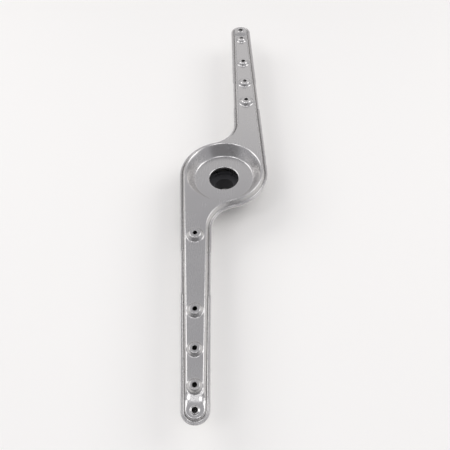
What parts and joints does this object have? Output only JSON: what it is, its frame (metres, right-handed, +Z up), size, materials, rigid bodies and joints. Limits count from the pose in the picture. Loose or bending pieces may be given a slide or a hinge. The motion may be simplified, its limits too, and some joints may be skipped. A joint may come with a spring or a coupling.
{
  "type": "dishwasher spray arm",
  "caption": "S-shaped stainless dishwasher spray arm: hemmed pressed sheets with raised jet nozzles, a sunk hub cup with a nut hole, and a plastic bearing that turns on a spindle.",
  "frame": {"origin": "on the hub axis, at the foot of the bearing", "axes": "+Z up along the hub axis, X along the two arms, Y across them"},
  "size_m": [0.47, 0.084, 0.0424],
  "materials": {
    "stainless": "satin rolled sheet",
    "bearing_plastic": "fine moulded texture"
  },
  "bodies": {
    "root": {"upper_shell": "stainless", "lower_shell": "stainless", "hub_bearing": "bearing_plastic"}
  },
  "joints": []
}
